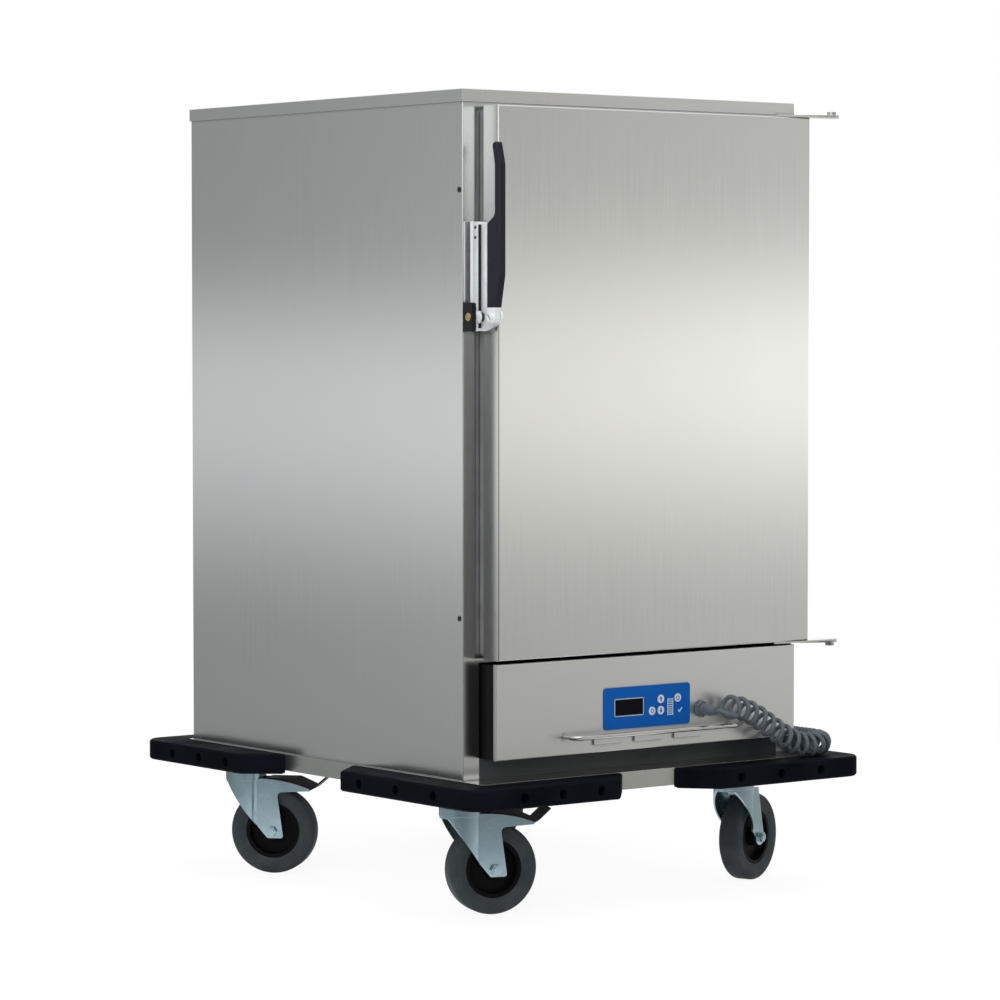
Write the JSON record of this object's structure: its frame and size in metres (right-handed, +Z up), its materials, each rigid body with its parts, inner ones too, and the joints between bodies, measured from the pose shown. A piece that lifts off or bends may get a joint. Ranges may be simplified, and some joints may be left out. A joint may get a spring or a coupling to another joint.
{
  "type": "heated banquet cart",
  "caption": "Insulated stainless cabinet on swivel castors with a hinged latched door, tray runners inside, a heating module with controls below and corner bumpers.",
  "frame": {"origin": "on the floor under the middle of the bumper ring", "axes": "+X to the operator's right, +Y away from the operator who faces the door, +Z up"},
  "size_m": [0.892, 1.04, 1.425],
  "materials": {
    "stainless_sheet": "brushed",
    "control_panel_steel": "brushed",
    "inner_steel": "brushed",
    "rail_steel": "polished",
    "heater_sheath": "satin",
    "fan_aluminium": "satin",
    "chassis_steel": "brushed",
    "rail_paint": "satin",
    "screw_steel": "satin",
    "plinth_paint": "satin",
    "bumper_rubber": "matte",
    "foam": "matte",
    "seal_silicone": "matte",
    "zinc_cast": "satin",
    "lever_plastic": "satin",
    "strike_plastic": "matte",
    "bolt_brass": "polished",
    "film_blue": "satin",
    "window_black": "gloss",
    "key_plastic": "satin",
    "box_plastic": "matte",
    "gland_plastic": "matte",
    "cord_jacket": "matte",
    "plug_plastic": "matte",
    "zinc_plate": "satin",
    "wheel_plastic": "matte",
    "tyre_rubber": "matte",
    "pedal_plastic": "satin"
  },
  "bodies": {
    "cabinet": {"side_left": "stainless_sheet", "side_right": "stainless_sheet", "back_panel": "stainless_sheet", "top_cover": "stainless_sheet", "front_rails": "stainless_sheet", "hinge_brackets": "stainless_sheet", "control_panel": "control_panel_steel", "inner_liner": "inner_steel", "rack_left": "inner_steel", "rack_right": "inner_steel", "body_floor": "inner_steel", "pull_rail": "rail_steel", "hinge_pins": "rail_steel", "heater_element": "heater_sheath", "chassis_frame": "chassis_steel", "castor_rails": "rail_paint", "bumper_screws": "screw_steel", "plinth": "plinth_paint", "module_housing": "plinth_paint", "fan_motor": "plinth_paint", "bumper_front_left": "bumper_rubber", "bumper_front_right": "bumper_rubber", "bumper_rear_left": "bumper_rubber", "bumper_rear_right": "bumper_rubber", "insulation": "foam", "strike_block": "strike_plastic", "control_film": "film_blue", "display_window": "window_black", "controller_box": "box_plastic", "cord_gland": "gland_plastic", "cord_curl": "cord_jacket", "plug": "plug_plastic", "castor_plates": "zinc_plate"},
    "door": {"door_skin": "stainless_sheet", "door_liner": "inner_steel", "door_insulation": "foam", "door_gasket": "seal_silicone", "hinge_arms": "stainless_sheet", "latch_case": "zinc_cast"},
    "handle": {"latch_handle": "lever_plastic"},
    "bolt": {"latch_bolt": "bolt_brass"},
    "fan": {"fan_wheel": "fan_aluminium"},
    "key_up_body": {"key_up": "key_plastic"},
    "key_set_body": {"key_set": "key_plastic"},
    "key_down_body": {"key_down": "key_plastic"},
    "key_power_body": {"key_power": "key_plastic"},
    "swivel_front_left": {"fork_front_left": "zinc_plate"},
    "roller_front_left": {"wheel_front_left": "wheel_plastic", "tyre_front_left": "tyre_rubber"},
    "pedal_front_left": {"brake_front_left": "pedal_plastic"},
    "swivel_front_right": {"fork_front_right": "zinc_plate"},
    "roller_front_right": {"wheel_front_right": "wheel_plastic", "tyre_front_right": "tyre_rubber"},
    "swivel_rear_left": {"fork_rear_left": "zinc_plate"},
    "roller_rear_left": {"wheel_rear_left": "wheel_plastic", "tyre_rear_left": "tyre_rubber"},
    "pedal_rear_left": {"brake_rear_left": "pedal_plastic"},
    "swivel_rear_right": {"fork_rear_right": "zinc_plate"},
    "roller_rear_right": {"wheel_rear_right": "wheel_plastic", "tyre_rear_right": "tyre_rubber"}
  },
  "joints": [
    {"name": "door_hinge", "type": "hinge", "parent": "cabinet", "child": "door", "pos_m": [0.427, -0.44, 0.925], "axis": [0, 0, 1], "range_deg": [0, 255]},
    {"name": "handle_pivot", "type": "hinge", "parent": "door", "child": "handle", "pos_m": [-0.3512, -0.4475, 1.038], "axis": [1, 0, 0], "range_deg": [0, 35], "stiffness_Nm_per_rad": 0.3, "springref_deg": -14.32},
    {"name": "bolt_slide", "type": "slide", "parent": "door", "child": "bolt", "axis": [1, 0, 0], "range_m": [0, 0.0096]},
    {"name": "fan_spin", "type": "hinge", "parent": "cabinet", "child": "fan", "pos_m": [0.2405, -0.2885, 0.37], "axis": [0, 0, 1], "continuous": true},
    {"name": "key_up_press", "type": "slide", "parent": "cabinet", "child": "key_up_body", "axis": [0, 1, 0], "range_m": [0, 0.0004], "stiffness_N_per_m": 800},
    {"name": "key_set_press", "type": "slide", "parent": "cabinet", "child": "key_set_body", "axis": [0, 1, 0], "range_m": [0, 0.0004], "stiffness_N_per_m": 800},
    {"name": "key_down_press", "type": "slide", "parent": "cabinet", "child": "key_down_body", "axis": [0, 1, 0], "range_m": [0, 0.0004], "stiffness_N_per_m": 800},
    {"name": "key_power_press", "type": "slide", "parent": "cabinet", "child": "key_power_body", "axis": [0, 1, 0], "range_m": [0, 0.0004], "stiffness_N_per_m": 800},
    {"name": "swivel_turn_front_left", "type": "hinge", "parent": "cabinet", "child": "swivel_front_left", "pos_m": [-0.314, -0.305, 0.19], "axis": [0, 0, 1], "continuous": true},
    {"name": "wheel_roll_front_left", "type": "hinge", "parent": "swivel_front_left", "child": "roller_front_left", "pos_m": [-0.26169, -0.322, 0.08], "axis": [0.309, 0.9511, 0], "continuous": true},
    {"name": "brake_press_front_left", "type": "hinge", "parent": "swivel_front_left", "child": "pedal_front_left", "pos_m": [-0.25361, -0.32462, 0.17], "axis": [0.309, 0.9511, 0], "range_deg": [0, 10], "stiffness_Nm_per_rad": 0.6, "springref_deg": -8.59},
    {"name": "swivel_turn_front_right", "type": "hinge", "parent": "cabinet", "child": "swivel_front_right", "pos_m": [0.314, -0.305, 0.19], "axis": [0, 0, 1], "continuous": true},
    {"name": "wheel_roll_front_right", "type": "hinge", "parent": "swivel_front_right", "child": "roller_front_right", "pos_m": [0.36568, -0.28619, 0.08], "axis": [-0.342, 0.9397, 0], "continuous": true},
    {"name": "swivel_turn_rear_left", "type": "hinge", "parent": "cabinet", "child": "swivel_rear_left", "pos_m": [-0.314, 0.361, 0.19], "axis": [0, 0, 1], "continuous": true},
    {"name": "wheel_roll_rear_left", "type": "hinge", "parent": "swivel_rear_left", "child": "roller_rear_left", "pos_m": [-0.2772, 0.32013, 0.08], "axis": [0.7431, 0.6691, 0], "continuous": true},
    {"name": "brake_press_rear_left", "type": "hinge", "parent": "swivel_rear_left", "child": "pedal_rear_left", "pos_m": [-0.27151, 0.31381, 0.17], "axis": [0.7431, 0.6691, 0], "range_deg": [0, 10], "stiffness_Nm_per_rad": 0.6, "springref_deg": -8.59},
    {"name": "swivel_turn_rear_right", "type": "hinge", "parent": "cabinet", "child": "swivel_rear_right", "pos_m": [0.314, 0.361, 0.19], "axis": [0, 0, 1], "continuous": true},
    {"name": "wheel_roll_rear_right", "type": "hinge", "parent": "swivel_rear_right", "child": "roller_rear_right", "pos_m": [0.27066, 0.39486, 0.08], "axis": [-0.6157, -0.788, 0], "continuous": true}
  ],
  "couplings": [
    {"joint": "bolt_slide", "follows": "handle_pivot", "m_per_rad": 0.01555}
  ]
}
